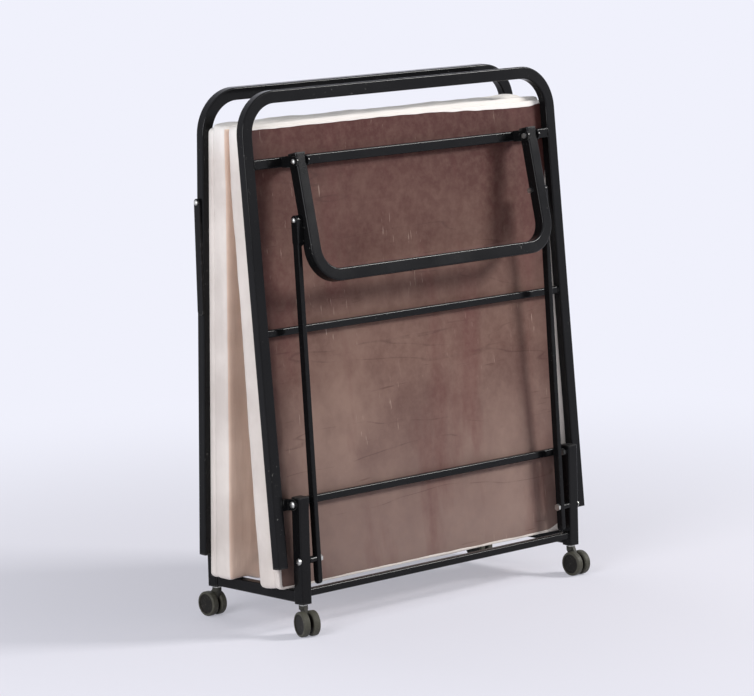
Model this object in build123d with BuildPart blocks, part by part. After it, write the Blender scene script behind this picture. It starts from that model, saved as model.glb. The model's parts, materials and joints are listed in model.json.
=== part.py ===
from build123d import *

import os
from math import asin, atan2, cos, degrees, hypot, radians, sin

# Folding cot, stored upright: two bed halves hinged on a low base with casters.
# Millimetres and degrees. X runs across the cot, +Y towards the rear, +Z up from the floor.
# The rear half is the front half turned half a turn about Z, with its own lean.

# Tubes
FRAME_WIDTH = 850.0        # over the outer faces of the rails
TUBE_WALL = 1.5
TUBE_CORNER = 3.0          # outer corner radius of every tube
RAIL_WIDTH = 25.0          # across the cot
RAIL_DEPTH = 20.0
RAIL_BEND = 75.0           # centre-line radius of the two bends
RAIL_ABOVE = 800.0         # hinge axis to the outer edge of the head bar
RAIL_BELOW = 121.0         # hinge axis to the open rail ends
RAIL_SETBACK = 14.0        # hinge axis to the rail's outer face
FRONT_LEAN_DEG = 4.5       # of each folded half, top towards the middle
REAR_LEAN_DEG = 2.5
PLUG_PLATE = 2.0           # plastic end plugs
PLUG_DEPTH = 6.0
PLUG_CORNER = 1.0
PLUG_PLAY = 0.1

# Casters
WHEEL_DIAMETER = 50.0
WHEEL_WIDTH = 14.0
WHEEL_ROUND = 3.0          # edge radius of the tread
WHEEL_DISH = 1.2           # recess in the outer disc
WHEEL_RIM = 5.0            # radial height of the rim around that recess
WHEEL_FLOOR = 3.0          # wall between the axle's end and the outer disc
WEB_THICKNESS = 7.0        # housing between the wheels
WEB_GAP = 0.5
AXLE_RADIUS = 3.0
AXLE_BOSS = 9.0
CASTER_TRAIL = 15.0        # stem to axle, measured level
PARKED_YAW_DEG = 15.0      # front left caster turned about its stem as the cot stands
BOSS_RADIUS = 9.0
BOSS_HEIGHT = 7.5
BOSS_LIFT = 1.0            # boss over the top of the wheels
STEM_RADIUS = 5.0
STEM_SINK = 6.0            # stem held in the boss
STEM_LENGTH = 22.0         # stem above its collar
COLLAR_RADIUS = 7.5
COLLAR_HEIGHT = 3.2
SWIVEL_GAP = 0.3
SOCKET_FLANGE = 2.0
SOCKET_DEPTH = 26.0

# Base
POST_SIZE = 25.0
POST_LENGTH = 207.0
POST_GAP = 15.5            # between the rails and the posts
POST_Y = 130.0
SIDE_BAR_WIDTH = 20.0
SIDE_BAR_HEIGHT = 24.0
END_BAR_SIZE = 15.0
END_BAR_RISE = 11.0        # front and rear bar above the foot of the posts

# Pivots
BOLT_RADIUS = 4.0          # hinge and link bolts in the posts
PIN_RADIUS = 3.0           # bolts in the legs and rails
FIT = 0.05                 # radial running clearance
PLAY = 0.3                 # side play between parts that turn on one bolt
HEAD_RATIO = 1.7           # bolt head radius over shank radius
HEAD_HEIGHT = 4.0
HEAD_EDGE = 1.0            # straight edge under the domed head
NUT_HEIGHT = 5.0
NUT_RATIO = 1.8            # nut corner radius over shank radius
HINGE_BELOW_CAP = 13.7     # hinge axis under the top of the post cap
HINGE_INSET = 3.0          # hinge axis behind the middle of the post
LINK_DROP = 112.0          # link pivot below the hinge axis
LINK_OUTSET = 6.0          # link pivot in front of the middle of the post

# Bed halves
UPPER_BAR = 20.0
THIN_BAR = 15.0            # middle and lower crossbar
UPPER_BAR_AT = 660.0       # along the rails from the hinge axis
MIDDLE_BAR_AT = 333.0
HINGE_PLATE = 4.0
HINGE_EYE = 11.0
BRACKET_PLATE = 3.5        # ears of the leg bracket
BRACKET_EYE = 11.0
LEG_PIVOT_OUT = 20.0       # leg pivot in front of the hinge axis, square to the rails
CATCH_AT = 580.0           # bolt of the catch along the rear left rail
CATCH_OFF = 4.0            # that bolt outward of the rail's centre line
CATCH_LENGTH = 213.0       # between the centres of its rounded ends
CATCH_WIDTH = 16.0
CATCH_THICKNESS = 5.0

# Legs and links
LEG_TUBE = 25.0
LEG_WALL = 1.3
LEG_BEND = 55.0
LEG_TOP = 15.0             # tube above the leg pivot
LEG_PIVOT_OFF = 6.5        # leg pivot in front of the tube's centre line
LINK_PIVOT_OFF = 8.2       # link bolt behind the tube's centre line
LEG_SIDE_GAP = 0.5
LEG_FLOOR_GAP = 1.0        # under the leg when the cot stands open
LINK_WIDTH = 10.0          # across the cot
LINK_DEPTH = 16.0
LINK_TAIL = 50.0           # link below its lower pivot
LINK_GAP = 16.5            # between the link bars and the posts
LUG_LENGTH = 42.0          # thick upper end of the link, below its bolt
LUG_WIDTH = 15.0           # across the cot
LUG_DEPTH = 19.0
LINK_ROUND = 2.0

# Boards and pads
PAD_INSET = 15.0           # pad edge inside the rails' outer faces
PAD_LENGTH = 893.0
BOARD_THICKNESS = 9.0
PAD_THICKNESS = 47.0       # foam at the hinge end
PAD_PRESSED = 39.5         # foam at the head end, where the halves press on each other
PAD_EDGE = 14.0            # rounding of the foam's free edges
PAD_CORNER = 20.0          # rounding of the four upright corners
BOARD_CORNER = 10.0
BOARD_GAP = 0.3
PAD_REST_GAP = 0.4         # pad foot over the side bars

# Worked-out heights and places
BOSS_BOTTOM = WHEEL_DIAMETER + BOSS_LIFT
COLLAR_BOTTOM = BOSS_BOTTOM + BOSS_HEIGHT
SOCKET_BOTTOM = COLLAR_BOTTOM + COLLAR_HEIGHT + SWIVEL_GAP
POST_BOTTOM = SOCKET_BOTTOM + SOCKET_FLANGE
POST_TOP = POST_BOTTOM + POST_LENGTH
SIDE_BAR_TOP = POST_BOTTOM + SIDE_BAR_HEIGHT
HINGE_HEIGHT = POST_TOP + PLUG_PLATE - HINGE_BELOW_CAP
HINGE_OUT = POST_Y - HINGE_INSET
LINK_PIVOT_HEIGHT = HINGE_HEIGHT - LINK_DROP
LINK_PIVOT_OUT = POST_Y + LINK_OUTSET
LINK_STEP_OUT = LINK_PIVOT_OUT - HINGE_OUT
RAIL_INNER = FRAME_WIDTH / 2 - RAIL_WIDTH
POST_OUTER = RAIL_INNER - POST_GAP
POST_INNER = POST_OUTER - POST_SIZE
POST_X = (POST_OUTER + POST_INNER) / 2
RAIL_BACK = RAIL_SETBACK + RAIL_DEPTH
CATCH_OUT = CATCH_OFF - RAIL_SETBACK - RAIL_DEPTH / 2
PLATE_INNER = POST_OUTER + PLAY
PLATE_OUTER = PLATE_INNER + HINGE_PLATE
LINK_OUTER = POST_INNER - LINK_GAP
LINK_INNER = LINK_OUTER - LINK_WIDTH
LUG_INNER = LINK_OUTER - LUG_WIDTH
LEG_OUTER = LUG_INNER - LEG_SIDE_GAP
LEG_INNER = LEG_OUTER - LEG_TUBE
LEG_X = (LEG_OUTER + LEG_INNER) / 2
PAD_WIDTH = FRAME_WIDTH - 2 * PAD_INSET
PIVOT_SPAN = hypot(LINK_DROP, LINK_STEP_OUT)
LEG_SPLAY = degrees(atan2(LINK_STEP_OUT, LINK_DROP) + asin((LEG_PIVOT_OFF + LINK_PIVOT_OFF) / PIVOT_SPAN))
LINK_SWING = degrees(atan2(LEG_PIVOT_OUT, UPPER_BAR_AT))
LINK_LENGTH = hypot(LEG_PIVOT_OUT, UPPER_BAR_AT)

LEANS = {"front": FRONT_LEAN_DEG, "rear": REAR_LEAN_DEG}
# Upright plane of each end: x across the cot, y up, z outward
ENDS = {
    "front": Plane(origin=(0, 0, 0), x_dir=(1, 0, 0), z_dir=(0, -1, 0)),
    "rear": Plane(origin=(0, 0, 0), x_dir=(-1, 0, 0), z_dir=(0, 1, 0)),
}
SIDES = (-1, 1)


def side_name(end_name, side):
    """Left or right as seen from the front."""
    turned = side if end_name == "front" else -side
    return "left" if turned < 0 else "right"


def tilted(plane, x, up, out, angle):
    """Plane at a point of another plane, with its top leant inward by an angle."""
    lean = radians(angle)
    normal = plane.z_dir * cos(lean) + plane.y_dir * sin(lean)
    return Plane(plane.from_local_coords((x, up, out)), x_dir=plane.x_dir, z_dir=normal)


def across(plane, x):
    """Plane square to the cot's width at x, with coordinates (up, out)."""
    return Plane(plane.from_local_coords((x, 0, 0)), x_dir=plane.y_dir, z_dir=plane.x_dir)


def upward(plane, x, up, out):
    """Plane square to a half's length, with coordinates (across, inward)."""
    return Plane(plane.from_local_coords((x, up, out)), x_dir=plane.x_dir, z_dir=plane.y_dir)


def axial(plane, x, up, out, side):
    """Plane along a bolt that points outward on its side, with coordinates (along, up)."""
    origin = plane.from_local_coords((x * side, up, out))
    return Plane(origin, x_dir=plane.x_dir * side, z_dir=plane.z_dir * side)


def half_plane(end_name):
    """Plane of a bed half: origin on the hinge axis, y along the rails, z outward."""
    return tilted(ENDS[end_name], 0, HINGE_HEIGHT, HINGE_OUT, LEANS[end_name])


def leg_pivot(end_name):
    """Leg pivot of a folded half as (up, out) in the upright plane of its end."""
    point = half_plane(end_name).from_local_coords((0, UPPER_BAR_AT, LEG_PIVOT_OUT))
    local = ENDS[end_name].to_local_coords(point)
    return local.Y, local.Z


def leg_plane(end_name):
    """Plane of a leg's centre line: origin level with the leg pivot, y up along the tube."""
    up, out = leg_pivot(end_name)
    at_pivot = tilted(ENDS[end_name], 0, up, out, LEG_SPLAY)
    return at_pivot.offset(-LEG_PIVOT_OFF)


def pad_end(end_name):
    """Distance from the hinge axis down to the foot of a pad that rests on the side bars."""
    lean = radians(LEANS[end_name])
    depth = RAIL_BACK + BOARD_GAP + BOARD_THICKNESS + PAD_THICKNESS - PAD_EDGE
    drop = HINGE_HEIGHT - SIDE_BAR_TOP - PAD_REST_GAP - PAD_EDGE - depth * sin(lean)
    return drop / cos(lean) + PAD_EDGE


def tube_profile(width, depth, wall):
    RectangleRounded(width, depth, TUBE_CORNER)
    RectangleRounded(width - 2 * wall, depth - 2 * wall, TUBE_CORNER - wall, mode=Mode.SUBTRACT)


def save(builder, name):
    builder.part.label = name
    export_step(builder.part, f"parts/{name}.step")


def make_post(end, side):
    """Square post with the holes of the hinge bolt and the link bolt."""
    with BuildPart() as post:
        with BuildSketch(upward(end, side * POST_X, POST_BOTTOM, POST_Y)):
            tube_profile(POST_SIZE, POST_SIZE, TUBE_WALL)
        extrude(amount=POST_LENGTH)
        with BuildSketch(across(end, side * POST_X)):
            with Locations((HINGE_HEIGHT, HINGE_OUT), (LINK_PIVOT_HEIGHT, LINK_PIVOT_OUT)):
                Circle(BOLT_RADIUS + FIT)
        extrude(amount=POST_SIZE, both=True, mode=Mode.SUBTRACT)
    return post


def make_post_caps():
    """Plastic caps on the four posts."""
    with BuildPart() as caps:
        for end in ENDS.values():
            for side in SIDES:
                seat = upward(end, side * POST_X, POST_TOP, POST_Y)
                with BuildSketch(seat):
                    RectangleRounded(POST_SIZE, POST_SIZE, TUBE_CORNER)
                extrude(amount=PLUG_PLATE)
                with BuildSketch(seat):
                    bore = POST_SIZE - 2 * TUBE_WALL - 2 * PLUG_PLAY
                    RectangleRounded(bore, bore, PLUG_CORNER + TUBE_WALL)
                extrude(amount=-PLUG_DEPTH)
        chamfer(caps.faces().group_by(Axis.Z)[-1].edges(), PLUG_PLATE / 4)
    return caps


def make_caster_sockets():
    """Flanged plugs in the feet of the posts, bored for the caster stems."""
    with BuildPart() as sockets:
        for end in ENDS.values():
            for side in SIDES:
                with BuildSketch(upward(end, side * POST_X, SOCKET_BOTTOM, POST_Y)):
                    RectangleRounded(POST_SIZE, POST_SIZE, TUBE_CORNER)
                    Circle(STEM_RADIUS + FIT, mode=Mode.SUBTRACT)
                extrude(amount=SOCKET_FLANGE)
                with BuildSketch(upward(end, side * POST_X, POST_BOTTOM, POST_Y)):
                    bore = POST_SIZE - 2 * TUBE_WALL - 2 * PLUG_PLAY
                    RectangleRounded(bore, bore, PLUG_CORNER + TUBE_WALL)
                    Circle(STEM_RADIUS + FIT, mode=Mode.SUBTRACT)
                extrude(amount=SOCKET_DEPTH)
    return sockets


def make_side_bar(side):
    """Base bar between a front and a rear post."""
    reach = POST_Y - POST_SIZE / 2
    middle = POST_BOTTOM + SIDE_BAR_HEIGHT / 2
    with BuildPart() as bar:
        with BuildSketch(Plane((side * POST_X, -reach, middle), x_dir=(1, 0, 0), z_dir=(0, 1, 0))):
            tube_profile(SIDE_BAR_WIDTH, SIDE_BAR_HEIGHT, TUBE_WALL)
        extrude(amount=2 * reach)
    return bar


def make_end_bar(end):
    """Base bar between the two posts of one end."""
    with BuildPart() as bar:
        with BuildSketch(across(end, -POST_INNER)):
            with Locations((POST_BOTTOM + END_BAR_RISE + END_BAR_SIZE / 2, POST_Y)):
                tube_profile(END_BAR_SIZE, END_BAR_SIZE, TUBE_WALL)
        extrude(amount=2 * POST_INNER)
    return bar


def make_bolts(spots, shank):
    """Domed bolts with hexagon nuts. A spot is a plane along the bolt and its grip length."""
    head = shank * HEAD_RATIO
    rise = HEAD_HEIGHT - HEAD_EDGE
    with BuildPart() as bolts:
        for spot, grip in spots:
            with BuildSketch(spot):
                with BuildLine():
                    shaft = Polyline((grip, 0), (-NUT_HEIGHT, 0), (-NUT_HEIGHT, shank), (grip, shank),
                                     (grip, head), (grip + HEAD_EDGE, head))
                    dome = EllipticalCenterArc((grip + HEAD_EDGE, 0), rise, head, arc_size=90)
                    Line(dome @ 0, shaft @ 0)
                make_face()
            revolve(axis=Axis(spot.origin, spot.x_dir))
            with BuildSketch(Plane(spot.origin, x_dir=spot.y_dir, z_dir=spot.x_dir)):
                RegularPolygon(shank * NUT_RATIO, 6)
                Circle(shank + FIT, mode=Mode.SUBTRACT)
            extrude(amount=-NUT_HEIGHT)
    return bolts


def hinge_bolt_spots():
    grip = PLATE_OUTER + PLAY - POST_INNER
    return [(axial(end, POST_INNER, HINGE_HEIGHT, HINGE_OUT, side), grip)
            for end in ENDS.values() for side in SIDES]


def link_bolt_spots():
    seat = LINK_INNER - PLAY
    return [(axial(end, seat, LINK_PIVOT_HEIGHT, LINK_PIVOT_OUT, side), POST_OUTER - seat)
            for end in ENDS.values() for side in SIDES]


def leg_bolt_spots(half):
    seat = LEG_INNER - LEG_SIDE_GAP - BRACKET_PLATE
    grip = 2 * (LEG_X - seat)
    return [(axial(half, seat, UPPER_BAR_AT, LEG_PIVOT_OUT, side), grip) for side in SIDES]


def catch_bolt_spot(half):
    grip = RAIL_WIDTH + CATCH_THICKNESS + 2 * PLAY
    return axial(half, RAIL_INNER, CATCH_AT, CATCH_OUT, 1), grip


def leg_link_bolt_spots(end_name):
    up, out = leg_pivot(end_name)
    grip = LINK_OUTER + PLAY - LEG_INNER
    end = ENDS[end_name]
    return [(axial(end, LEG_INNER, up - LINK_DROP, out + LINK_STEP_OUT, side), grip) for side in SIDES]


def make_link_spacers():
    """Sleeves on the link bolts between post and link."""
    with BuildPart() as spacers:
        for end in ENDS.values():
            for side in SIDES:
                with BuildSketch(across(end, side * POST_INNER)):
                    with Locations((LINK_PIVOT_HEIGHT, LINK_PIVOT_OUT)):
                        Circle(BOLT_RADIUS * HEAD_RATIO)
                        Circle(BOLT_RADIUS + FIT, mode=Mode.SUBTRACT)
                extrude(amount=-side * (POST_INNER - LINK_OUTER - PLAY))
    return spacers


def make_rail(half, holes):
    """U rail of a bed half, bent at the head. Holes are (along, out) of bolts in its first side."""
    layer = half.offset(-(RAIL_SETBACK + RAIL_DEPTH / 2))
    reach = (FRAME_WIDTH - RAIL_WIDTH) / 2
    top = RAIL_ABOVE - RAIL_WIDTH / 2
    with BuildPart() as rail:
        with BuildLine(layer):
            FilletPolyline((-reach, -RAIL_BELOW), (-reach, top), (reach, top), (reach, -RAIL_BELOW),
                           radius=RAIL_BEND)
        with BuildSketch(upward(layer, -reach, -RAIL_BELOW, 0)):
            tube_profile(RAIL_WIDTH, RAIL_DEPTH, TUBE_WALL)
        sweep()
        for hole in holes:
            with BuildSketch(across(half, reach)):
                with Locations(hole):
                    Circle(PIN_RADIUS + FIT)
            extrude(amount=RAIL_WIDTH, both=True, mode=Mode.SUBTRACT)
    return rail


def make_rail_plugs(half):
    """Plastic plugs in the two open rail ends."""
    reach = (FRAME_WIDTH - RAIL_WIDTH) / 2
    depth = -(RAIL_SETBACK + RAIL_DEPTH / 2)
    with BuildPart() as plugs:
        for side in SIDES:
            seat = upward(half, side * reach, -RAIL_BELOW, depth)
            with BuildSketch(seat):
                RectangleRounded(RAIL_WIDTH, RAIL_DEPTH, TUBE_CORNER)
            extrude(amount=-PLUG_PLATE)
            with BuildSketch(seat):
                bore_cut = 2 * TUBE_WALL + 2 * PLUG_PLAY
                RectangleRounded(RAIL_WIDTH - bore_cut, RAIL_DEPTH - bore_cut, PLUG_CORNER + TUBE_WALL)
            extrude(amount=PLUG_DEPTH)
    return plugs


def make_crossbar(half, size, along, reach):
    """Crossbar flush with the inner faces of the rails, from -reach to reach."""
    with BuildPart() as bar:
        with BuildSketch(across(half, -reach)):
            with Locations((along, size / 2 - RAIL_BACK)):
                tube_profile(size, size, TUBE_WALL)
        extrude(amount=2 * reach)
    return bar


def make_hinge_brackets(half):
    """Plates that turn on the hinge bolts, each with a block welded to the rail."""
    with BuildPart() as brackets:
        for side in SIDES:
            with BuildSketch(across(half, side * PLATE_INNER)):
                Circle(HINGE_EYE)
                with Locations((0, -RAIL_BACK / 2)):
                    Rectangle(2 * HINGE_EYE, RAIL_BACK)
                Circle(BOLT_RADIUS + FIT, mode=Mode.SUBTRACT)
            extrude(amount=side * HINGE_PLATE)
            with BuildSketch(across(half, side * PLATE_OUTER)):
                with Locations((0, -(RAIL_SETBACK + RAIL_DEPTH / 2))):
                    Rectangle(2 * HINGE_EYE, RAIL_DEPTH)
            extrude(amount=side * (RAIL_INNER - PLATE_OUTER))
    return brackets


def make_leg_brackets(half):
    """Channels on the upper crossbar whose two ears hold a leg."""
    seat = UPPER_BAR - RAIL_BACK
    inside = LEG_TUBE / 2 + LEG_SIDE_GAP
    with BuildPart() as brackets:
        for side in SIDES:
            for face in SIDES:
                with BuildSketch(across(half, side * LEG_X + face * inside)):
                    with Locations((UPPER_BAR_AT, LEG_PIVOT_OUT)):
                        Circle(BRACKET_EYE)
                    with Locations((UPPER_BAR_AT, (LEG_PIVOT_OUT + seat) / 2)):
                        Rectangle(2 * BRACKET_EYE, LEG_PIVOT_OUT - seat)
                    with Locations((UPPER_BAR_AT, LEG_PIVOT_OUT)):
                        Circle(PIN_RADIUS + FIT, mode=Mode.SUBTRACT)
                extrude(amount=face * BRACKET_PLATE)
            with BuildSketch(across(half, side * LEG_X)):
                with Locations((UPPER_BAR_AT, seat + BRACKET_PLATE / 2)):
                    Rectangle(2 * BRACKET_EYE, BRACKET_PLATE)
            extrude(amount=inside, both=True)
    return brackets


def make_catch(end_name):
    """Flat bar that hangs plumb from its bolt, on the outer face of a rail."""
    end = ENDS[end_name]
    bolt = end.to_local_coords(half_plane(end_name).from_local_coords((0, CATCH_AT, CATCH_OUT)))
    with BuildPart() as catch:
        with BuildSketch(across(end, FRAME_WIDTH / 2 + PLAY)):
            with Locations((bolt.Y - CATCH_LENGTH / 2, bolt.Z)):
                SlotCenterToCenter(CATCH_LENGTH, CATCH_WIDTH)
            with Locations((bolt.Y, bolt.Z)):
                Circle(PIN_RADIUS + FIT, mode=Mode.SUBTRACT)
        extrude(amount=CATCH_THICKNESS)
    return catch


def leg_reach():
    """Leg tube's centre line below the leg pivot, so that the open cot's leg nears the floor."""
    splay = radians(LEG_SPLAY)
    pivot_height = HINGE_HEIGHT - LEG_PIVOT_OUT
    corner = LEG_TUBE / 2 * (cos(splay) + sin(splay))
    return (pivot_height - LEG_FLOOR_GAP - corner - LEG_PIVOT_OFF * sin(splay)) / cos(splay)


def make_leg(end_name):
    """U leg, bent at the foot, with the holes of the leg bolts and the link bolts."""
    layer = leg_plane(end_name)
    bottom = -leg_reach()
    up, out = leg_pivot(end_name)
    with BuildPart() as leg:
        with BuildLine(layer):
            FilletPolyline((-LEG_X, LEG_TOP), (-LEG_X, bottom), (LEG_X, bottom), (LEG_X, LEG_TOP),
                           radius=LEG_BEND)
        with BuildSketch(upward(layer, -LEG_X, LEG_TOP, 0)):
            tube_profile(LEG_TUBE, LEG_TUBE, LEG_WALL)
        sweep()
        with BuildSketch(across(ENDS[end_name], 0)):
            with Locations((up, out), (up - LINK_DROP, out + LINK_STEP_OUT)):
                Circle(PIN_RADIUS + FIT)
        extrude(amount=LEG_OUTER + LEG_TUBE, both=True, mode=Mode.SUBTRACT)
    return leg


def make_leg_plugs(end_name):
    """Plastic plugs in the two open leg ends."""
    layer = leg_plane(end_name)
    with BuildPart() as plugs:
        for side in SIDES:
            seat = upward(layer, side * LEG_X, LEG_TOP, 0)
            with BuildSketch(seat):
                RectangleRounded(LEG_TUBE, LEG_TUBE, TUBE_CORNER)
            extrude(amount=PLUG_PLATE)
            with BuildSketch(seat):
                bore = LEG_TUBE - 2 * LEG_WALL - 2 * PLUG_PLAY
                RectangleRounded(bore, bore, PLUG_CORNER + LEG_WALL)
            extrude(amount=-PLUG_DEPTH)
    return plugs


def make_link(end_name, side):
    """Link bar from the post to the leg, with a thick lug at its upper end."""
    lean = LEANS[end_name] - LINK_SWING
    along = tilted(ENDS[end_name], 0, LINK_PIVOT_HEIGHT, LINK_PIVOT_OUT, lean)
    with BuildPart() as link:
        with BuildSketch(across(along, side * LINK_INNER)):
            with Locations(((LINK_LENGTH - LINK_TAIL + LINK_DEPTH / 2) / 2, 0)):
                SlotCenterToCenter(LINK_LENGTH + LINK_TAIL - LINK_DEPTH / 2, LINK_DEPTH)
        extrude(amount=side * LINK_WIDTH)
        with BuildSketch(across(along, side * LUG_INNER)):
            with Locations((LINK_LENGTH - LUG_LENGTH / 2, 0)):
                SlotCenterToCenter(LUG_LENGTH, LUG_DEPTH)
        extrude(amount=side * (LINK_OUTER - LUG_INNER))
        fillet(link.edges().filter_by(Axis(along.origin, along.y_dir)), LINK_ROUND)
        with BuildSketch(across(along, side * LINK_INNER)):
            Circle(BOLT_RADIUS + FIT)
            with Locations((LINK_LENGTH, 0)):
                Circle(PIN_RADIUS + FIT)
        extrude(amount=2 * LINK_WIDTH, both=True, mode=Mode.SUBTRACT)
    return link


def make_board(end_name):
    """Board that lies on the rails."""
    half = half_plane(end_name)
    foot = pad_end(end_name)
    with BuildPart() as board:
        with BuildSketch(half.offset(-(RAIL_BACK + BOARD_GAP))):
            with Locations((0, PAD_LENGTH / 2 - foot)):
                RectangleRounded(PAD_WIDTH, PAD_LENGTH, BOARD_CORNER)
        extrude(amount=-BOARD_THICKNESS)
    return board


def make_pad(end_name):
    """Foam pad on the board, pressed thinner towards the head end."""
    half = half_plane(end_name)
    foot = -pad_end(end_name)
    head = foot + PAD_LENGTH
    seat = -(RAIL_BACK + BOARD_GAP + BOARD_THICKNESS)
    with BuildPart() as pad:
        with BuildSketch(across(half, 0)):
            with BuildLine():
                Polyline((foot, seat), (head, seat), (head, seat - PAD_PRESSED),
                         (foot, seat - PAD_THICKNESS), close=True)
            make_face()
        extrude(amount=PAD_WIDTH / 2, both=True)
        corners = pad.edges().filter_by(lambda edge: abs(edge.tangent_at(0).dot(half.z_dir)) > 0.99)
        fillet(corners, PAD_CORNER)
        fillet(pad.faces().sort_by(Axis(half.origin, half.z_dir))[0].edges(), PAD_EDGE)
    return pad


def caster_plane(end, side, yaw):
    """Upright plane through the stem of a caster, on the floor, turned about the stem."""
    turn = radians(yaw)
    ahead = end.x_dir * cos(turn) + end.z_dir * sin(turn)
    outward = end.z_dir * cos(turn) - end.x_dir * sin(turn)
    return Plane(end.from_local_coords((side * POST_X, 0, POST_Y)), x_dir=ahead, z_dir=outward)


def make_caster_housing(place):
    """Web between the wheels with a boss for the stem and an eye for the axle."""
    with BuildPart() as housing:
        with BuildSketch(across(place, 0)):
            with Locations((WHEEL_DIAMETER / 2, CASTER_TRAIL)):
                Circle(AXLE_BOSS)
            with Locations((BOSS_BOTTOM + BOSS_HEIGHT / 2, 0)):
                Rectangle(BOSS_HEIGHT, 2 * BOSS_RADIUS)
            make_hull()
            with Locations((WHEEL_DIAMETER / 2, CASTER_TRAIL)):
                Circle(AXLE_RADIUS + FIT, mode=Mode.SUBTRACT)
        extrude(amount=WEB_THICKNESS / 2, both=True)
        with BuildSketch(upward(place, 0, BOSS_BOTTOM, 0)):
            Circle(BOSS_RADIUS)
        extrude(amount=BOSS_HEIGHT)
        with BuildSketch(upward(place, 0, COLLAR_BOTTOM, 0)):
            Circle(STEM_RADIUS + FIT)
        extrude(amount=-STEM_SINK, mode=Mode.SUBTRACT)
    return housing


def make_caster_pins(place):
    """Steel stem with its collar, and the axle of the two wheels."""
    half_axle = WEB_THICKNESS / 2 + WEB_GAP + WHEEL_WIDTH - WHEEL_DISH - WHEEL_FLOOR - PLAY
    with BuildPart() as pins:
        with BuildSketch(upward(place, 0, COLLAR_BOTTOM - STEM_SINK, 0)):
            Circle(STEM_RADIUS)
        extrude(amount=STEM_SINK + COLLAR_HEIGHT + STEM_LENGTH)
        with BuildSketch(upward(place, 0, COLLAR_BOTTOM, 0)):
            Circle(COLLAR_RADIUS)
        extrude(amount=COLLAR_HEIGHT)
        with BuildSketch(across(place, 0)):
            with Locations((WHEEL_DIAMETER / 2, CASTER_TRAIL)):
                Circle(AXLE_RADIUS)
        extrude(amount=half_axle, both=True)
    return pins


def make_wheel(place, side):
    """Wheel with a dished outer disc and a blind bore from inside."""
    inner = WEB_THICKNESS / 2 + WEB_GAP
    radius = WHEEL_DIAMETER / 2
    rim = radius - WHEEL_RIM
    edge = radius - WHEEL_ROUND
    disc = WHEEL_WIDTH - WHEEL_DISH
    shoulder = WHEEL_WIDTH - WHEEL_ROUND
    hub = axial(place, inner, radius, CASTER_TRAIL, side)
    with BuildPart() as wheel:
        with BuildSketch(hub):
            with BuildLine():
                Polyline((0, 0), (disc, 0), (disc, rim), (WHEEL_WIDTH, rim), (WHEEL_WIDTH, edge))
                RadiusArc((WHEEL_WIDTH, edge), (shoulder, radius), -WHEEL_ROUND)
                Line((shoulder, radius), (WHEEL_ROUND, radius))
                RadiusArc((WHEEL_ROUND, radius), (0, edge), -WHEEL_ROUND)
                Line((0, edge), (0, 0))
            make_face()
        revolve(axis=Axis(hub.origin, hub.x_dir))
        with BuildSketch(Plane(hub.origin, x_dir=hub.y_dir, z_dir=hub.x_dir)):
            Circle(AXLE_RADIUS + FIT)
        extrude(amount=disc - WHEEL_FLOOR, mode=Mode.SUBTRACT)
    return wheel


os.makedirs("parts", exist_ok=True)

for base_side in SIDES:
    save(make_side_bar(base_side), f"side_bar_{side_name('front', base_side)}")
save(make_post_caps(), "post_caps")
save(make_caster_sockets(), "caster_sockets")
save(make_bolts(hinge_bolt_spots(), BOLT_RADIUS), "hinge_bolts")
save(make_bolts(link_bolt_spots(), BOLT_RADIUS), "link_bolts")
save(make_link_spacers(), "link_spacers")

for name, upright in ENDS.items():
    leaning = half_plane(name)
    save(make_end_bar(upright), f"{name}_bar")
    frame_bolts = leg_bolt_spots(leaning)
    rail_holes = []
    if name == "rear":
        frame_bolts.append(catch_bolt_spot(leaning))
        rail_holes.append((CATCH_AT, CATCH_OUT))
        save(make_catch(name), f"{name}_catch")
    save(make_rail(leaning, rail_holes), f"{name}_rail")
    save(make_rail_plugs(leaning), f"{name}_rail_plugs")
    save(make_crossbar(leaning, UPPER_BAR, UPPER_BAR_AT, RAIL_INNER), f"{name}_upper_crossbar")
    save(make_crossbar(leaning, THIN_BAR, MIDDLE_BAR_AT, RAIL_INNER), f"{name}_middle_crossbar")
    save(make_crossbar(leaning, THIN_BAR, 0, PLATE_INNER), f"{name}_lower_crossbar")
    save(make_hinge_brackets(leaning), f"{name}_hinge_brackets")
    save(make_leg_brackets(leaning), f"{name}_leg_brackets")
    save(make_bolts(frame_bolts, PIN_RADIUS), f"{name}_frame_bolts")
    save(make_board(name), f"{name}_board")
    save(make_pad(name), f"{name}_pad")
    save(make_leg(name), f"{name}_leg")
    save(make_leg_plugs(name), f"{name}_leg_plugs")
    save(make_bolts(leg_link_bolt_spots(name), PIN_RADIUS), f"{name}_leg_link_bolts")
    for end_side in SIDES:
        corner_name = f"{name}_{side_name(name, end_side)}"
        caster = caster_plane(upright, end_side, PARKED_YAW_DEG if corner_name == "front_left" else 0)
        save(make_post(upright, end_side), f"{corner_name}_post")
        save(make_link(name, end_side), f"{corner_name}_link")
        save(make_caster_housing(caster), f"{corner_name}_caster_housing")
        save(make_caster_pins(caster), f"{corner_name}_caster_pins")
        for wheel_side in SIDES:
            wheel_name = f"{corner_name}_caster_wheel_{side_name(name, wheel_side)}"
            save(make_wheel(caster, wheel_side), wheel_name)
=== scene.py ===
import json
from math import cos, hypot, pi, radians, sin

import bmesh
import bpy
from mathutils import Matrix, Vector, noise


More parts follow.
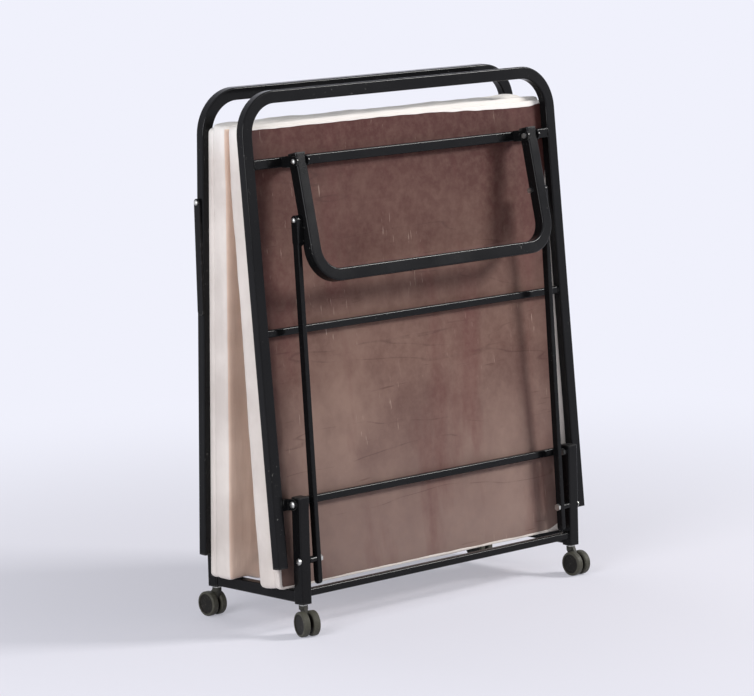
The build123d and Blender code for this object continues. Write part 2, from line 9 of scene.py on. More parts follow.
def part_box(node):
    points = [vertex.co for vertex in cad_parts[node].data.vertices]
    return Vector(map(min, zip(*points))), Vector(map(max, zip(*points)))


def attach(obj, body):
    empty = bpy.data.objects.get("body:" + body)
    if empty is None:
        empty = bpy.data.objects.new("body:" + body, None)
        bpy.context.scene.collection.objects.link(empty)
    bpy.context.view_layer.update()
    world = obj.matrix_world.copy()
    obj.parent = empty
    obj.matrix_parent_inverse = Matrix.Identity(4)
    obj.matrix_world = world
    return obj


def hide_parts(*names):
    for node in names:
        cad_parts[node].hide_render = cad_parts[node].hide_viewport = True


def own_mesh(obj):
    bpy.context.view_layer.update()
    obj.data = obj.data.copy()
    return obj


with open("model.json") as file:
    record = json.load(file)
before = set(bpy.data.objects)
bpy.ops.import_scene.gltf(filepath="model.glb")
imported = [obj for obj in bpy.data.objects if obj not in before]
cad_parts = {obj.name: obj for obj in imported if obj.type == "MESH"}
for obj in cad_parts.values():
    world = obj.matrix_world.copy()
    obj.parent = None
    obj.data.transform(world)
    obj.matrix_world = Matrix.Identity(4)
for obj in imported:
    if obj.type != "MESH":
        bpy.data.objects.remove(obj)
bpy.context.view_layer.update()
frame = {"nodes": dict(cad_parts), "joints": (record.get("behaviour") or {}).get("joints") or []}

NODES = frame["nodes"]
JOINTS = {joint["name"]: joint for joint in frame["joints"]}
ENDS = ("front", "rear")


# Places in a bed half

def half_frame(end):
    """Maps (across, along the rails, inward) from the hinge axis to the shared frame."""
    along = Vector(JOINTS[f"{end}_mattress_slide"]["axis"])
    inward = Vector((0, along.z, -along.y)) if end == "front" else Vector((0, -along.z, along.y))
    place = Matrix((Vector((1, 0, 0)), along, inward)).transposed().to_4x4()
    place.translation = Vector(JOINTS[f"{end}_fold"]["pos_m"])
    return place


HALVES = {end: half_frame(end) for end in ENDS}


def local_box(node, place):
    """Lowest and highest corner of a CAD node in the frame of a bed half."""
    back = place.inverted()
    points = [back @ v.co for v in NODES[node].data.vertices]
    return [Vector([pick(p[i] for p in points) for i in range(3)]) for pick in (min, max)]


def smooth(low, high, value):
    t = min(1, max(0, (value - low) / (high - low)))
    return t * t * (3 - 2 * t)


def wave(x, y=0.0, z=0.0):
    return noise.noise(Vector((x, y, z)))


# Materials

def new_tree(name):
    material = bpy.data.materials.new(name)
    material.use_nodes = True
    return material, material.node_tree, material.node_tree.nodes["Principled BSDF"]


def add(tree, kind, sockets=None, **settings):
    """Adds a shader node. A socket's value is a number, a colour or another node's output."""
    made = tree.nodes.new("ShaderNode" + kind)
    for key, value in settings.items():
        setattr(made, key, value)
    join(tree, made, sockets or {})
    return made


def join(tree, made, sockets):
    for key, value in sockets.items():
        if isinstance(value, bpy.types.NodeSocket):
            tree.links.new(value, made.inputs[key])
        else:
            made.inputs[key].default_value = value


def place_of(tree, stretch=(1, 1, 1), turn=(0, 0, 0)):
    coords = add(tree, "TexCoord").outputs["Object"]
    return add(tree, "Mapping", {"Vector": coords, "Rotation": turn, "Scale": stretch}).outputs["Vector"]


def noise_at(tree, vector, scale, detail=3.0, rough=0.5):
    sockets = {"Vector": vector, "Scale": scale, "Detail": detail, "Roughness": rough}
    return add(tree, "TexNoise", sockets).outputs["Fac"]


def remap(tree, value, low, high, out_low=0.0, out_high=1.0):
    return add(tree, "MapRange", {"Value": value, "From Min": low, "From Max": high,
                                  "To Min": out_low, "To Max": out_high}).outputs["Result"]


def maths(tree, operation, a, b=0.0):
    return add(tree, "Math", {0: a, 1: b}, operation=operation).outputs["Value"]


def times(tree, a, b):
    return maths(tree, "MULTIPLY", a, b)


def blend_colour(tree, factor, a, b):
    mix = add(tree, "Mix", data_type="RGBA")
    join(tree, mix, {0: factor, 6: a, 7: b})
    return mix.outputs[2]


def tint(tree, base, mask, share, colour):
    """Lays colour over base by mask, at most to the given share."""
    return blend_colour(tree, times(tree, mask, share), base, colour)


def bump(tree, height, strength, distance, under=None):
    sockets = {"Height": height, "Strength": strength, "Distance": distance}
    if under is not None:
        sockets["Normal"] = under
    return add(tree, "Bump", sockets).outputs["Normal"]


def edge_mask(tree, radius):
    """One along convex and concave edges, nought on flats."""
    soft = add(tree, "Bevel", {"Radius": radius}, samples=6).outputs["Normal"]
    flat = add(tree, "NewGeometry").outputs["Normal"]
    dot = add(tree, "VectorMath", {0: soft, 1: flat}, operation="DOT_PRODUCT").outputs["Value"]
    return remap(tree, dot, 0.985, 0.9)


def rgb(r, g, b):
    """Linear colour from display values of 0 to 255."""
    def line(c):
        c /= 255
        return c / 12.92 if c <= 0.04045 else ((c + 0.055) / 1.055) ** 2.4
    return (line(r), line(g), line(b), 1)


def black_paint():
    material, tree, shader = new_tree("black_paint")
    plain = place_of(tree)
    patches = noise_at(tree, plain, 7.0, 4.0, 0.6)
    grain = noise_at(tree, plain, 420.0, 2.0)
    specks = remap(tree, noise_at(tree, plain, 160.0, 5.0, 0.65), 0.64, 0.7)
    worn = remap(tree, noise_at(tree, plain, 11.0, 3.0), 0.52, 0.66)
    chips = remap(tree, noise_at(tree, plain, 70.0, 4.0), 0.5, 0.62)
    edges = times(tree, edge_mask(tree, 0.0025), chips)
    scuffs = maths(tree, "MAXIMUM", times(tree, specks, worn), times(tree, edges, 0.5))
    base = blend_colour(tree, patches, rgb(10, 10, 11), rgb(20, 20, 21))
    join(tree, shader, {
        "Base Color": tint(tree, base, scuffs, 0.6, rgb(120, 119, 116)),
        "Roughness": remap(tree, patches, 0.3, 0.7, 0.14, 0.27),
        "Specular IOR Level": 0.08,
        "Coat Weight": 0.12,
        "Coat Roughness": 0.07,
        "Normal": bump(tree, grain, 0.12, 0.0004),
    })
    return material


def brown_board():
    """Mottled brown sheet, with painted shade that makes it darker and redder towards the head and a
    painted reflection of the bright floor that makes it lighter and greyer towards the foot.
    """
    material, tree, shader = new_tree("brown_board")
    plain = place_of(tree)
    streaked = place_of(tree, (1, 1, 0.25), (0, 0.5, 0))
    apart = add(tree, "SeparateXYZ", {"Vector": plain}).outputs
    height = apart["Z"]
    aside = maths(tree, "ABSOLUTE", apart["X"])
    cloudy = noise_at(tree, plain, 3.6, 6.0, 0.66)
    mottle = noise_at(tree, place_of(tree, (1, 1, 0.6)), 13.0, 5.0, 0.6)
    red = noise_at(tree, streaked, 7.5, 5.0, 0.6)
    fine = noise_at(tree, plain, 55.0, 6.0, 0.7)
    fibre = noise_at(tree, place_of(tree, (1, 1, 6)), 260.0, 3.0, 0.6)
    base = blend_colour(tree, remap(tree, cloudy, 0.36, 0.64), rgb(88, 61, 54), rgb(128, 103, 92))
    base = tint(tree, base, remap(tree, mottle, 0.5, 0.68), 0.45, rgb(84, 58, 52))
    # Painted shade: darker and redder towards the head, where less light falls.
    base = tint(tree, base, remap(tree, height, 0.42, 0.98), 0.9, rgb(61, 15, 14))
    # Painted shade: darker still towards the upper corner on the right, by the rail and leg.
    corner = times(tree, remap(tree, apart["X"], -0.05, 0.4), remap(tree, height, 0.5, 0.85))
    base = tint(tree, base, corner, 0.5, rgb(55, 26, 24))
    # Painted reflection of the bright floor: lighter and greyer towards the foot.
    base = tint(tree, base, remap(tree, height, 0.5, 0.1), 0.6, rgb(136, 118, 112))
    base = tint(tree, base, remap(tree, red, 0.52, 0.68), 0.6, rgb(89, 50, 48))
    base = tint(tree, base, remap(tree, fine, 0.4, 0.75), 0.28, rgb(132, 108, 98))
    upright = place_of(tree, (5, 5, 0.35), (0, 0.25, 0))
    scratch = remap(tree, noise_at(tree, upright, 46.0, 3.0, 0.5), 0.68, 0.73)
    patch = remap(tree, noise_at(tree, plain, 5.0, 2.0), 0.52, 0.6)
    base = tint(tree, base, times(tree, scratch, patch), 0.55, rgb(172, 150, 138))
    # Painted shade: thin dark lines along wavy contours where creases in the board's film would cast shade.
    level = noise_at(tree, place_of(tree, (0.3, 1.0, 2.4)), 3.4, 3.0, 0.45)
    near = maths(tree, "ABSOLUTE", maths(tree, "SUBTRACT", level, 0.5))
    crease = times(tree, remap(tree, near, 0.0045, 0.0), remap(tree, mottle, 0.42, 0.56))
    base = tint(tree, base, crease, 0.38, rgb(56, 32, 30))
    lying = place_of(tree, (0.45, 1, 7))
    stroke = remap(tree, noise_at(tree, lying, 20.0, 3.0, 0.5), 0.66, 0.72)
    base = tint(tree, base, times(tree, stroke, patch), 0.5, rgb(70, 43, 39))
    # Painted shade along both sides of the board, where the legs and links cast their shadows.
    painted_side_shade = times(tree, remap(tree, aside, 0.335, 0.392), remap(tree, mottle, 0.36, 0.62, 0.35, 1.0))
    base = tint(tree, base, painted_side_shade, 0.75, rgb(56, 31, 29))
    relief = bump(tree, fibre, 0.12, 0.0004)
    join(tree, shader, {
        "Base Color": base,
        "Roughness": remap(tree, fine, 0.3, 0.7, 0.46, 0.64),
        "Specular IOR Level": 0.14,
        "Normal": bump(tree, cloudy, 0.15, 0.002, relief),
    })
    return material


def cover_fabric(name, light, dark, stain, painted_head_light):
    """Woven cover, soiled here and there, with painted light that makes it whiter at the head."""
    material, tree, shader = new_tree(name)
    plain = place_of(tree)
    height = add(tree, "SeparateXYZ", {"Vector": plain}).outputs["Z"]
    clouds = noise_at(tree, plain, 9.0, 4.0, 0.55)
    yarn = {"Vector": plain, "Scale": 260.0, "Distortion": 0.6, "Detail": 1.0}
    warp = add(tree, "TexWave", yarn, wave_type="BANDS", bands_direction="Z").outputs["Fac"]
    weft = add(tree, "TexWave", yarn, wave_type="BANDS", bands_direction="DIAGONAL").outputs["Fac"]
    weave = times(tree, warp, weft)
    fuzz = noise_at(tree, plain, 700.0, 3.0, 0.7)
    base = blend_colour(tree, remap(tree, clouds, 0.35, 0.68), dark, light)
    marks = remap(tree, noise_at(tree, plain, 17.0, 5.0, 0.6), 0.64, 0.76)
    base = tint(tree, base, marks, 0.3, stain)
    # Painted light: whiter towards the head, where more light falls from above.
    base = tint(tree, base, remap(tree, height, 0.92, 0.975), 0.7, painted_head_light)
    crease = noise_at(tree, place_of(tree, (3.2, 3.2, 0.5)), 17.0, 3.0, 0.5)
    normal = bump(tree, crease, 0.35, 0.004)
    normal = bump(tree, weave, 0.25, 0.0004, normal)
    join(tree, shader, {
        "Base Color": base,
        "Roughness": remap(tree, fuzz, 0.3, 0.7, 0.78, 0.95),
        "Specular IOR Level": 0.2,
        "Sheen Weight": 0.25,
        "Sheen Roughness": 0.5,
        "Normal": bump(tree, fuzz, 0.15, 0.0003, normal),
    })
    return material


def bright_zinc():
    material, tree, shader = new_tree("bright_zinc")
    plain = place_of(tree)
    spangle = noise_at(tree, plain, 190.0, 3.0)
    lathe = noise_at(tree, place_of(tree, (40, 1, 1)), 90.0, 2.0)
    join(tree, shader, {
        "Base Color": blend_colour(tree, spangle, rgb(168, 168, 163), rgb(206, 206, 202)),
        "Metallic": 1.0,
        "Roughness": remap(tree, spangle, 0.3, 0.7, 0.28, 0.46),
        "Normal": bump(tree, lathe, 0.08, 0.0003),
    })
    return material


def moulded_plastic(name, light, dark, rough):
    material, tree, shader = new_tree(name)
    plain = place_of(tree)
    cloud = noise_at(tree, plain, 40.0, 4.0, 0.6)
    pits = noise_at(tree, plain, 900.0, 2.0)
    dust = remap(tree, noise_at(tree, plain, 210.0, 5.0, 0.7), 0.58, 0.72)
    base = blend_colour(tree, remap(tree, cloud, 0.35, 0.65), dark, light)
    join(tree, shader, {
        "Base Color": tint(tree, base, dust, 0.25, rgb(128, 125, 116)),
        "Roughness": remap(tree, cloud, 0.3, 0.7, rough, rough + 0.15),
        "Specular IOR Level": 0.2,
        "Normal": bump(tree, pits, 0.1, 0.0003),
    })
    return material


def wheel_plastic(name, centre, axle, disc_radius):
    """Grey tread and rim around a darker disc, with dust in patches."""
    material, tree, shader = new_tree(name)
    coords = add(tree, "TexCoord").outputs["Object"]
    arm = add(tree, "VectorMath", {0: coords, 1: centre}, operation="SUBTRACT").outputs["Vector"]
    lever = add(tree, "VectorMath", {0: arm, 1: axle}, operation="CROSS_PRODUCT").outputs["Vector"]
    radius = add(tree, "VectorMath", {0: lever}, operation="LENGTH").outputs["Value"]
    rim = remap(tree, radius, disc_radius - 0.0004, disc_radius + 0.0004)
    plain = place_of(tree)
    cloud = noise_at(tree, plain, 60.0, 4.0, 0.6)
    dust = remap(tree, noise_at(tree, plain, 240.0, 5.0, 0.7), 0.56, 0.72)
    disc = blend_colour(tree, cloud, rgb(18, 17, 15), rgb(32, 30, 27))
    tread = blend_colour(tree, cloud, rgb(56, 55, 49), rgb(80, 79, 70))
    base = blend_colour(tree, rim, disc, tread)
    join(tree, shader, {
        "Base Color": tint(tree, base, dust, 0.2, rgb(140, 137, 126)),
        "Roughness": remap(tree, cloud, 0.3, 0.7, 0.42, 0.6),
        "Specular IOR Level": 0.16,
        "Normal": bump(tree, noise_at(tree, plain, 800.0, 2.0), 0.12, 0.0003),
    })
    return material


PAINT = black_paint()
BOARD = brown_board()
COVER = cover_fabric("cover_fabric", light=rgb(221, 213, 207), dark=rgb(203, 194, 188),
                     stain=rgb(180, 168, 158), painted_head_light=rgb(238, 235, 232))
FACE = cover_fabric("face_fabric", light=rgb(219, 195, 178), dark=rgb(203, 177, 160),
                    stain=rgb(184, 156, 139), painted_head_light=rgb(221, 198, 182))
ZINC = bright_zinc()
PLUG = moulded_plastic("plug_plastic", rgb(30, 30, 30), rgb(20, 20, 20), 0.42)
HOUSING = moulded_plastic("housing_plastic", rgb(58, 57, 51), rgb(42, 41, 38), 0.42)

WHEEL_RIM = 0.005

for name, item in NODES.items():
    if "_wheel_" in name:
        low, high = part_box(name)
        spin = JOINTS[f"{name}_spin"]
        disc_radius = (high.z - low.z) / 2 - WHEEL_RIM
        coat = wheel_plastic(f"{name}_plastic", spin["pos_m"], spin["axis"], disc_radius)
    elif name.endswith("_board"):
        coat = BOARD
    elif name.endswith(("bolts", "_pins")):
        coat = ZINC
    elif name.endswith(("plugs", "caps", "sockets")):
        coat = PLUG
    elif name.endswith("_housing"):
        coat = HOUSING
    else:
        coat = PAINT
    item.data.materials.clear()
    item.data.materials.append(coat)


# Pads

PAD_CELL = 0.010
PAD_INSET = 0.004          # the cover starts this much inside and swells outward
PAD_SWELL = 0.0042         # most that a point may move
SWELL_FRAMES = 20
PAD_SIDE_ROUND = 0.006
PAD_HEAD_ROUND = 0.013
PAD_HEAD_ZONE = 0.06       # from the head, where the foam's thickness there is read
PAD_HEAD_CLEAR = 0.0005    # what each pad keeps free of the other at the head
PAD_CORNER = 0.013
PAD_HEAD_PROUD = 0.0115    # soft cover beyond the foam at the head
PAD_SEAT_BAND = 0.0005     # points this near the board stay on it
PAD_WALL_INSIDE = 0.0006   # what the walls end inside the foam's size
PAD_DRAWN_IN = 0.0037      # what the swelling faces draw the walls in
PAD_SAG = {"front": 0.006, "rear": 0.010}       # of the foot end between the side bars
PAD_PLUMP = {"front": 0.0070, "rear": 0.0035}   # beyond the foam, where nothing presses on it
PAD_PLUMP_FROM = 0.036     # height over the board from which all of that shows
PAD_PRESSED_RUN = 0.12     # from the head, where the pads press on each other
PAD_FOOT_BULGE = {"front": 0.005, "rear": 0.0015}   # of the side walls at the foot
PAD_EDGE_BAND = 0.03       # from an edge, where the walls' folds fade out
PAD_FOLD = 0.0013
PAD_CRUMPLE = 0.004        # of the head
PAD_CREASE = 0.0016        # at the corners of the foot
PAD_DIP = 0.0004           # of the face
PAD_NOISE = {"front": 3.7, "rear": 9.1}         # makes the folds of the two pads differ
FACE_NORMAL = 0.93         # least inward share of a normal where the face's fabric starts


def rounded_point(x, s, half_x, half_s):
    """Moves a point of a rectangle's ring pattern on to rounded corners."""
    dx = abs(x) - (half_x - PAD_CORNER)
    ds = abs(s) - (half_s - PAD_CORNER)
    if dx > 0 and ds > 0:
        pull = max(dx, ds) / hypot(dx, ds)
        x -= (1 - pull) * dx * (1 if x > 0 else -1)
        s -= (1 - pull) * ds * (1 if s > 0 else -1)
    return x, s


def edge_distance(x, s, half_x, half_s):
    """Distance inside the rounded outline and the outward direction there."""
    dx = abs(x) - (half_x - PAD_CORNER)
    ds = abs(s) - (half_s - PAD_CORNER)
    sx = 1 if x > 0 else -1
    ss = 1 if s > 0 else -1
    if dx > 0 and ds > 0:
        reach = hypot(dx, ds)
        return PAD_CORNER - reach, (sx * dx / reach, ss * ds / reach)
    if dx > ds:
        return PAD_CORNER - dx, (sx, 0)
    return PAD_CORNER - ds, (0, ss)


def pad_block(end):
    """Closed foam block in even quads, in the frame of its bed half."""
    place = HALVES[end]
    low, high = local_box(f"{end}_pad", place)
    half_x = high.x - PAD_INSET
    middle = (low.y + high.y + PAD_HEAD_PROUD) / 2
    half_s = (high.y - low.y + PAD_HEAD_PROUD) / 2 - PAD_INSET
    back = place.inverted()
    foam = [back @ v.co for v in NODES[f"{end}_pad"].data.vertices]
    head = max(p.z for p in foam if p.y > high.y - PAD_HEAD_ZONE)
    foot_thick = high.z - low.z - PAD_INSET
    head_thick = head - low.z - PAD_INSET - PAD_HEAD_CLEAR
    count = [max(4, round(2 * half_x / PAD_CELL)), max(4, round(2 * half_s / PAD_CELL)),
             max(4, round(foot_thick / PAD_CELL))]
    mesh = bmesh.new()
    lattice = {}

    def vertex(i, j, k):
        if (i, j, k) not in lattice:
            x = half_x * (2 * i / count[0] - 1)
            s = half_s * (2 * j / count[1] - 1)
            x, s = rounded_point(x, s, half_x, half_s)
            thick = foot_thick + (head_thick - foot_thick) * j / count[1]
            rise = thick * k / count[2]
            inside, out = edge_distance(x, s, half_x, half_s)
            rounding = PAD_SIDE_ROUND + (PAD_HEAD_ROUND - PAD_SIDE_ROUND) * max(0, out[1])
            a = rounding - inside
            b = rounding - (thick - rise)
            if a > 0 and b > 0:
                pull = max(a, b) / hypot(a, b)
                x -= out[0] * a * (1 - pull)
                s -= out[1] * a * (1 - pull)
                rise -= b * (1 - pull)
            lattice[i, j, k] = mesh.verts.new(place @ Vector((x, middle + s, low.z + rise)))
        return lattice[i, j, k]

    for fixed in range(3):
        first, second = [axis for axis in range(3) if axis != fixed]
        for level in (0, count[fixed]):
            for p in range(count[first]):
                for q in range(count[second]):
                    corners = []
                    for dp, dq in ((0, 0), (1, 0), (1, 1), (0, 1)):
                        index = [level] * 3
                        index[first] = p + dp
                        index[second] = q + dq
                        corners.append(vertex(*index))
                    mesh.faces.new(corners)
    bmesh.ops.recalc_face_normals(mesh, faces=mesh.faces)
    data = bpy.data.meshes.new(f"{end}_cushion")
    mesh.to_mesh(data)
    mesh.free()
    return data, low.z


def swell(item, held):
    """Lets the cover swell and buckle over the foam, with the points named in held fixed."""
    group = item.vertex_groups.new(name="held")
    group.add(held, 1.0, "REPLACE")
    before = [v.co.copy() for v in item.data.vertices]
    cloth = item.modifiers.new("cover", "CLOTH")
    cloth.settings.quality = 5
    cloth.settings.mass = 0.25
    cloth.settings.tension_stiffness = 18
    cloth.settings.compression_stiffness = 18
    cloth.settings.shear_stiffness = 8
    cloth.settings.bending_stiffness = 0.4
    cloth.settings.vertex_group_mass = "held"
    cloth.settings.shrink_min = -0.012
    cloth.settings.use_pressure = True
    cloth.settings.uniform_pressure_force = 4.0
    cloth.settings.effector_weights.gravity = 0.0
    cloth.collision_settings.use_collision = False
    cloth.point_cache.frame_start = 1
    cloth.point_cache.frame_end = SWELL_FRAMES
    scene = bpy.context.scene
    for step in range(SWELL_FRAMES):
        scene.frame_set(step + 1)
    graph = bpy.context.evaluated_depsgraph_get()
    after = [v.co.copy() for v in item.evaluated_get(graph).data.vertices]
    item.modifiers.remove(cloth)
    scene.frame_set(1)
    for v, a, b in zip(item.data.vertices, before, after):
        move = b - a
        if move.length > PAD_SWELL:
            move *= PAD_SWELL / move.length
        v.co = a + move


def fill_out(data, back, seat, middle, high):
    """Brings the walls and edges, which the swelling faces drew in, out to the size of the foam."""
    place = back.inverted()
    for v in data.vertices:
        p = back @ v.co
        push = PAD_INSET - PAD_WALL_INSIDE
        push += PAD_DRAWN_IN * smooth(0.0, 0.008, p.z - seat)
        edge = 0
        for axis in (0, 1):
            reach = high[axis] - middle[axis]
            off = p[axis] - middle[axis]
            p[axis] += push * smooth(0.6, 0.97, abs(off) / reach) * (1 if off > 0 else -1)
            edge = max(edge, smooth(0.88, 0.985, abs(off) / reach))
        to_head = smooth(-1, 1, (p.y - middle.y) / (high.y - middle.y))
        p.z += (p.z - seat) * edge * (0.105 - 0.055 * to_head)
        v.co = place @ p


def dress_pad(end):
    place = HALVES[end]
    data, seat = pad_block(end)
    item = bpy.data.objects.new(f"{end}_cushion", data)
    bpy.context.scene.collection.objects.link(item)
    back = place.inverted()
    held = [v.index for v in data.vertices if (back @ v.co).z < seat + PAD_SEAT_BAND]
    swell(item, held)
    low, high = local_box(f"{end}_pad", place)
    high.y += PAD_HEAD_PROUD
    fill_out(data, back, seat, (low + high) / 2, high)
    shift = PAD_NOISE[end]
    inward = (place.to_3x3() @ Vector((0, 0, 1))).normalized()
    along = (place.to_3x3() @ Vector((0, 1, 0))).normalized()
    for v in data.vertices:
        p = back @ v.co
        if p.z < seat + PAD_SEAT_BAND:
            continue
        head = high.y - p.y
        side = smooth(PAD_EDGE_BAND, 0.0, high.x - abs(p.x))
        end_wall = smooth(PAD_EDGE_BAND, 0.0, min(head, p.y - low.y))
        edge = max(side, end_wall)
        run = p.y if side > end_wall else p.x
        fold = wave(run * 26 + shift, p.z * 34, shift) * 0.6 + wave(run * 9, p.z * 55 + shift, 2.0) * 0.9
        broad = wave(p.x * 5, p.y * 5, shift) * 0.7
        crumple = wave(p.x * 13 + shift, p.z * 30, 4.0) + 0.6 * wave(p.x * 31, p.z * 50 + shift, 6.0)
        v.co += v.normal * (edge * fold * PAD_FOLD) - inward * (1 - edge) * (PAD_DIP - broad * PAD_DIP)
        v.co += along * (smooth(PAD_EDGE_BAND, 0.0, head) * (crumple - 0.4) * PAD_CRUMPLE)
        foot = smooth(0.05, 0.0, p.y - low.y) * smooth(0.36, 0.33, abs(p.x))
        v.co -= along * (foot * PAD_SAG[end] * (1 + 0.5 * wave(p.x * 9, p.z * 20, shift)))
        free = min(1, max(0, (head - PAD_HEAD_PROUD) / PAD_PRESSED_RUN))
        free *= 0.6 + 0.4 * smooth(0.0, 0.3, p.y - low.y)
        v.co += inward * (PAD_PLUMP[end] * free * min(1, (p.z - seat) / PAD_PLUMP_FROM))
        bulge = PAD_FOOT_BULGE[end] * smooth(0.5, 0.05, p.y - low.y) * side * smooth(0.0, 0.012, p.z - seat)
        v.co.x += bulge * (1 if p.x > 0 else -1)
        corner = smooth(0.17, 0.01, p.y - low.y) * side
        v.co += v.normal * (corner * PAD_CREASE * wave((p.y + 1.4 * p.z) * 44, (p.y - p.z) * 15, shift))
    data.materials.append(COVER)
    data.materials.append(FACE)
    for face in data.polygons:
        face.use_smooth = True
        if (back.to_3x3() @ face.normal).normalized().z > FACE_NORMAL:
            face.material_index = 1
    finer = item.modifiers.new("finer", "SUBSURF")
    finer.levels = 1
    finer.render_levels = 1
    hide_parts(f"{end}_pad")
    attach(item, f"{end}_mattress")
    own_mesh(item)


# Hems, where the cover is turned over the edge of each board

HEM_CLOTH = 0.0007
HEM_LIP = 0.0002           # what there is room for between the board and the rails
HEM_RISE = 0.0145          # up the sides of the board and the pad
HEM_STEP = 0.006
HEM_BED = 0.00004          # between the turned cloth and the board's face
HEM_INSIDE = 0.0001        # between the cloth and the board's edge
HEM_FOLD = 0.003           # height over the board's face where the cloth has turned upright
HEM_TUCK = (0.0006, 0.0012)     # how far the two sides of its upper edge are tucked in
HEM_PUCKER = 0.0004
BOARD_CORNER = 0.010


def board_outline(low, high):
    """Points round a board, each with its outward direction, as (across, along, out, out)."""
    turns = [(high.x, low.y, -90), (high.x, high.y, 0), (low.x, high.y, 90), (low.x, low.y, 180)]
    arcs = []
    for x, s, start in turns:
        x += BOARD_CORNER * (-1 if x > 0 else 1)
        s += BOARD_CORNER * (-1 if s == high.y else 1)
        arcs.append([(x, s, radians(start + 15 * k)) for k in range(7)])
    points = []
    for number, arc in enumerate(arcs):
        for x, s, angle in arc:
            out_x, out_s = cos(angle), sin(angle)
            points.append((x + BOARD_CORNER * out_x, s + BOARD_CORNER * out_s, out_x, out_s))
        x, s, angle = arcs[(number + 1) % 4][0]
        first = Vector(points[-1][:2])
        last = Vector((x + BOARD_CORNER * cos(angle), s + BOARD_CORNER * sin(angle)))
        count = round((last - first).length / HEM_STEP)
        for k in range(1, count):
            points.append((*first.lerp(last, k / count), cos(angle), sin(angle)))
    return points


def hem_widths(end, x, s, low, high):
    """How far the turned edge reaches over the board's face from its side and from its foot or head.

    Round a corner it stays narrower than the corner's rounding, so that it doesn't overlap itself."""
    right = x if end == "front" else -x
    off_corner = smooth(0.0, 0.03, high.x - BOARD_CORNER - right)
    side = 0.007 + 0.0012 * wave(s * 19, x * 3, 2.3)
    if right > 0:
        side += 0.021 * smooth(0.6, 0.45, s) * smooth(0.0, 0.03, s - low.y - BOARD_CORNER)
    foot = 0.004 + 0.0014 * wave(x * 23, 1.7, 0.4) + 0.017 * smooth(0.33, 0.385, right) * off_corner
    head = 0.0016 + 0.0095 * smooth(0.0, 0.36, right) * (0.6 + 0.4 * off_corner)
    head += 0.0014 * wave(x * 29, 5.2, 1.1)
    return side, foot if s < (low.y + high.y) / 2 else head


def hem(end):
    place = HALVES[end]
    low, high = local_box(f"{end}_board", place)
    face = low.z
    mesh = bmesh.new()
    rings = []
    outline = board_outline(low, high)
    widest = area = 0
    for number, (x, s, out_x, out_s) in enumerate(outline):
        side, tip = hem_widths(end, x, s, low, high)
        pucker = HEM_PUCKER * wave(x * 40, s * 40, 7.0)
        skin = [(-HEM_TUCK[0], HEM_RISE), (HEM_CLOTH + pucker, 0.6 * HEM_RISE),
                (HEM_CLOTH - pucker, HEM_FOLD), (HEM_CLOTH, HEM_CLOTH), (0.6 * HEM_CLOTH, -0.8 * HEM_LIP)]
        ring = [(x + out_x * d, s + out_s * d, face + n) for d, n in skin]
        for f in (0.3, 0.65, 0.97):
            ring.append((x - out_x * side * f, s - out_s * tip * f, face - HEM_LIP))
        for f in (1.0, 0.6, 0.25):
            ring.append((x - out_x * side * f, s - out_s * tip * f, face - HEM_BED))
        lining = [(HEM_INSIDE, n) for n in (-HEM_BED, HEM_FOLD, 0.6 * HEM_RISE)]
        for d, n in lining + [(-HEM_TUCK[1], HEM_RISE)]:
            ring.append((x + out_x * d, s + out_s * d, face + n))
        rings.append([mesh.verts.new(place @ Vector(p)) for p in ring])
        width = HEM_RISE + hypot(out_x * side, out_s * tip)
        widest = max(widest, width)
        area += width * (Vector(outline[number - 1][:2]) - Vector((x, s))).length
    for a, b in zip(rings, rings[1:] + rings[:1]):
        for k in range(len(a)):
            mesh.faces.new((a[k - 1], a[k], b[k], b[k - 1]))
    bmesh.ops.recalc_face_normals(mesh, faces=mesh.faces)
    data = bpy.data.meshes.new(f"{end}_hem")
    mesh.to_mesh(data)
    mesh.free()
    data.materials.append(COVER)
    for flat in data.polygons:
        flat.use_smooth = True
    item = bpy.data.objects.new(f"{end}_hem", data)
    bpy.context.scene.collection.objects.link(item)
    turns = zip(outline, outline[1:] + outline[:1])
    long = sum((Vector(p[:2]) - Vector(q[:2])).length for p, q in turns)
    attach(item, f"{end}_mattress")


for end in ENDS:
    dress_pad(end)
    hem(end)


# Weld beads

BEAD = 0.0021              # radius
BEAD_STEP = 0.0011
BEAD_SIDES = 8
BEAD_INSET = (0.0015, 0.0025)   # of a bead's two ends from the corners of a bar


def bead(mesh, place, start, stop, seed):
    """Rippled bead along a straight seam."""
    run = stop - start
    across = run.orthogonal().normalized()
    up = run.normalized().cross(across)
    count = max(6, round(run.length / BEAD_STEP))
    rings = []
    for k in range(count + 1):
        t = k / count
        ripple = 0.86 + 0.14 * cos(k * 2.1) + 0.16 * wave(k * 0.37, seed)
        size = BEAD * min(1, 0.45 + 6 * min(t, 1 - t)) * ripple
        centre = start + run * t + across * (0.0004 * wave(k * 0.21, seed, 3.0))
        ring = []
        for j in range(BEAD_SIDES):
            angle = 2 * pi * j / BEAD_SIDES
            point = centre + across * (size * cos(angle)) + up * (size * sin(angle))
            ring.append(mesh.verts.new(place @ point))
        rings.append(ring)
    for a, b in zip(rings, rings[1:]):
        for j in range(BEAD_SIDES):
            mesh.faces.new((a[j - 1], a[j], b[j], b[j - 1]))
    mesh.faces.new(rings[0])
    mesh.faces.new(rings[-1])


def bar_seams(low, high, axis, open_side):
    """Seams round both ends of a bar that runs along axis. open_side is left bare: (axis, level)."""
    one, two = [i for i in range(3) if i != axis]
    for level in (low[axis], high[axis]):
        for fixed, free in ((one, two), (two, one)):
            for edge in (low[fixed], high[fixed]):
                if open_side and open_side[0] == fixed and abs(open_side[1] - edge) < 0.001:
                    continue
                start, stop = Vector((0, 0, 0)), Vector((0, 0, 0))
                start[axis] = stop[axis] = level
                start[fixed] = stop[fixed] = edge
                start[free] = low[free] + BEAD_INSET[0]
                stop[free] = high[free] - BEAD_INSET[1]
                yield start, stop


